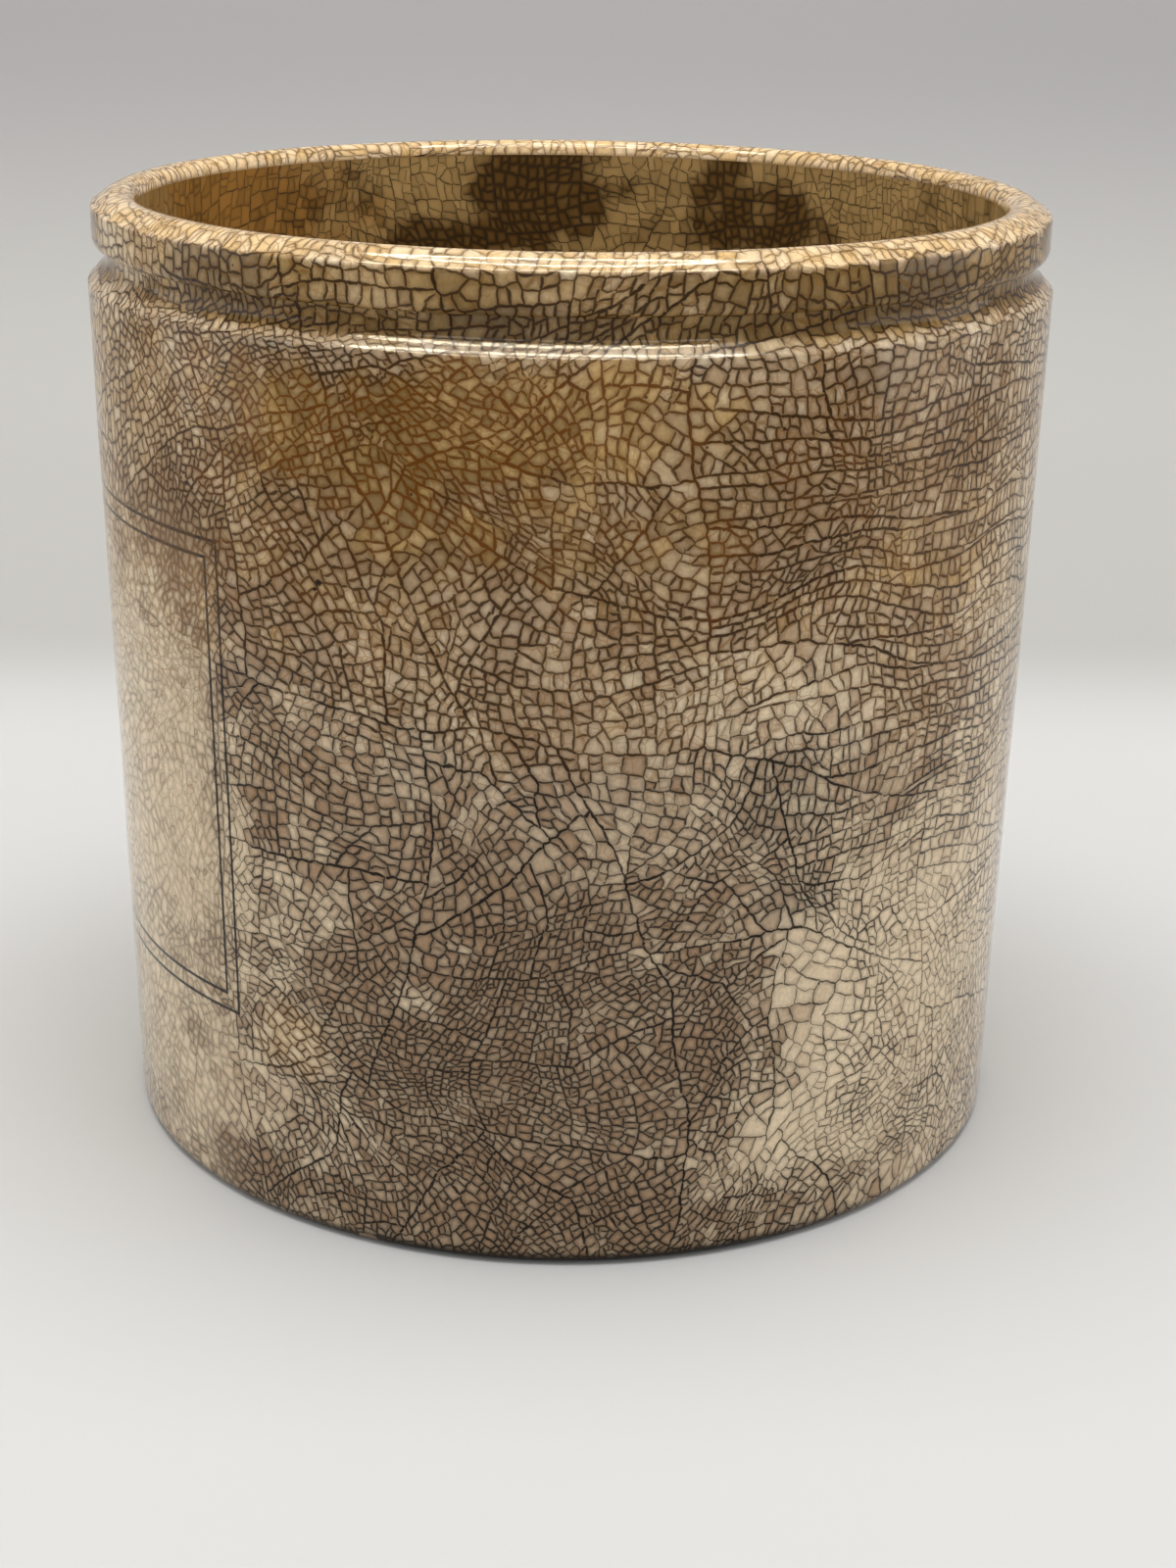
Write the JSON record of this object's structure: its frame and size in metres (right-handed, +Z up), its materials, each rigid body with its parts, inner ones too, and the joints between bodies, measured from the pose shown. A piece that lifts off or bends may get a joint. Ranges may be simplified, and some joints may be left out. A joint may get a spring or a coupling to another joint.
{
  "type": "marmalade jar",
  "caption": "Straight-sided glazed earthenware marmalade jar, open at the top, with a crowned lip, a collar and groove for a tied-on cover, and a bare foot ring.",
  "frame": {"origin": "middle of the foot ring, on the plane that the jar stands on", "axes": "+Z up along the jar's axis of revolution; -Y is the side that carries the printed frame"},
  "size_m": [0.1022, 0.1022, 0.1017],
  "materials": {
    "bare_clay": "fired, unglazed",
    "outer_glaze": "gloss, crazed and stained",
    "inner_glaze": "gloss, crazed and stained",
    "base_glaze": "gloss, crazed"
  },
  "bodies": {
    "root": {"clay_body": "bare_clay", "outer_glaze": "outer_glaze", "inner_glaze": "inner_glaze", "base_glaze": "base_glaze"}
  },
  "joints": []
}
